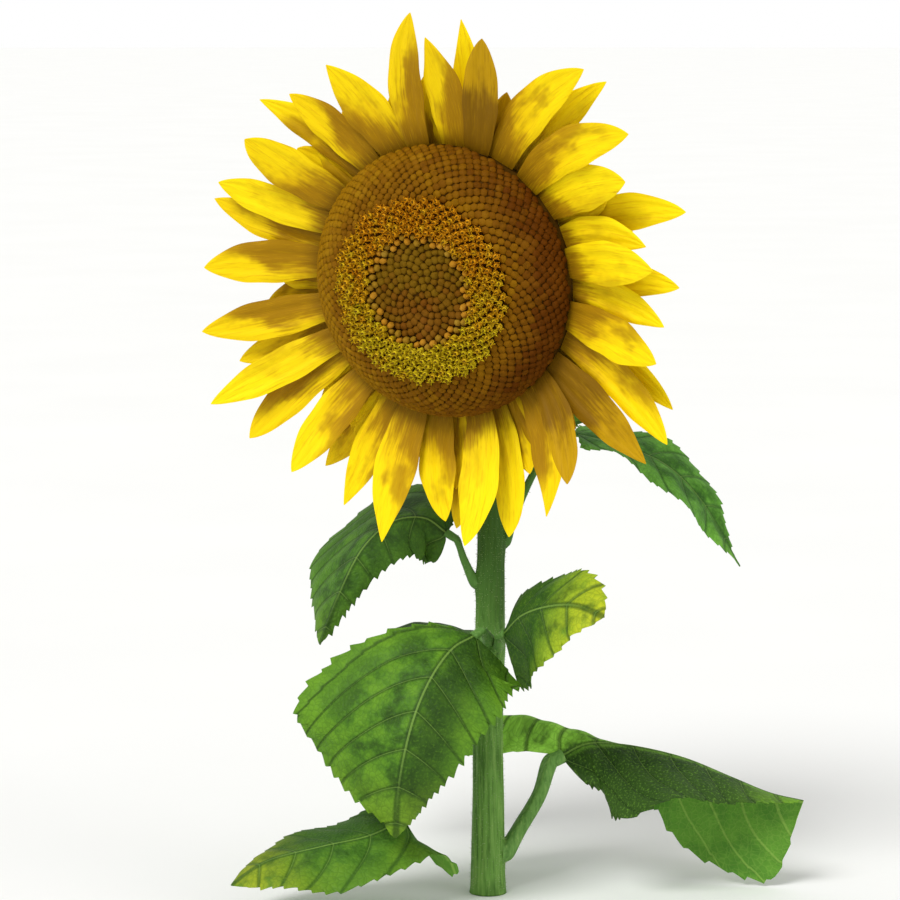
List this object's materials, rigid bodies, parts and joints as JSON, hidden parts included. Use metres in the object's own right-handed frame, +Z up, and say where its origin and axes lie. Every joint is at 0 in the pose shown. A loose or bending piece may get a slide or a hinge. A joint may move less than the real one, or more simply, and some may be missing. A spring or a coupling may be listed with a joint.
{
  "type": "sunflower plant",
  "caption": "Dwarf sunflower plant in full flower: one upright stem, heart-shaped leaves on stalks and a large nodding head with yellow ray petals around a domed brown disc.",
  "frame": {"origin": "centre of the flat cut under the stem, at ground level", "axes": "+Z up along the stem, the flower looks towards -Y and a little towards -X"},
  "size_m": [0.3645, 0.272, 0.5324],
  "materials": {
    "stem": "ridged green stem with fine hairs",
    "petiole": "smooth green leaf stalk with fine hairs",
    "leaf": "matt green leaf with sunken veins and a toothed edge",
    "bract": "matt green bracts",
    "receptacle": "pale green flesh",
    "petal": "satin golden yellow petal, ochre towards its root",
    "disc_outer": "brown crowded florets in spirals",
    "disc_ring": "golden orange open florets",
    "disc_centre": "dark brown closed buds"
  },
  "bodies": {
    "root": {"stem": "stem", "petiole_front": "petiole", "petiole_right_middle": "petiole", "petiole_upper_left": "petiole", "petiole_upper_right": "petiole", "petiole_lower_left": "petiole", "petiole_lower_right": "petiole", "petiole_back_upper": "petiole", "petiole_back_lower": "petiole", "leaf_front": "leaf", "leaf_right_middle": "leaf", "leaf_upper_left": "leaf", "leaf_upper_right": "leaf", "leaf_lower_left": "leaf", "leaf_lower_right": "leaf", "leaf_back_upper": "leaf", "leaf_back_lower": "leaf", "receptacle": "receptacle", "bracts": "bract", "disc_outer": "disc_outer", "disc_ring": "disc_ring", "disc_centre": "disc_centre", "petal_01": "petal", "petal_02": "petal", "petal_03": "petal", "petal_04": "petal", "petal_05": "petal", "petal_06": "petal", "petal_07": "petal", "petal_08": "petal", "petal_09": "petal", "petal_10": "petal", "petal_11": "petal", "petal_12": "petal", "petal_13": "petal", "petal_14": "petal", "petal_15": "petal", "petal_16": "petal", "petal_17": "petal", "petal_18": "petal", "petal_19": "petal", "petal_20": "petal", "petal_21": "petal", "petal_22": "petal", "petal_23": "petal", "petal_24": "petal", "petal_25": "petal", "petal_26": "petal", "petal_27": "petal", "petal_28": "petal", "petal_29": "petal", "petal_30": "petal", "petal_31": "petal", "petal_32": "petal", "petal_33": "petal", "petal_34": "petal", "petal_35": "petal", "petal_36": "petal", "petal_37": "petal", "petal_38": "petal"}
  },
  "joints": []
}
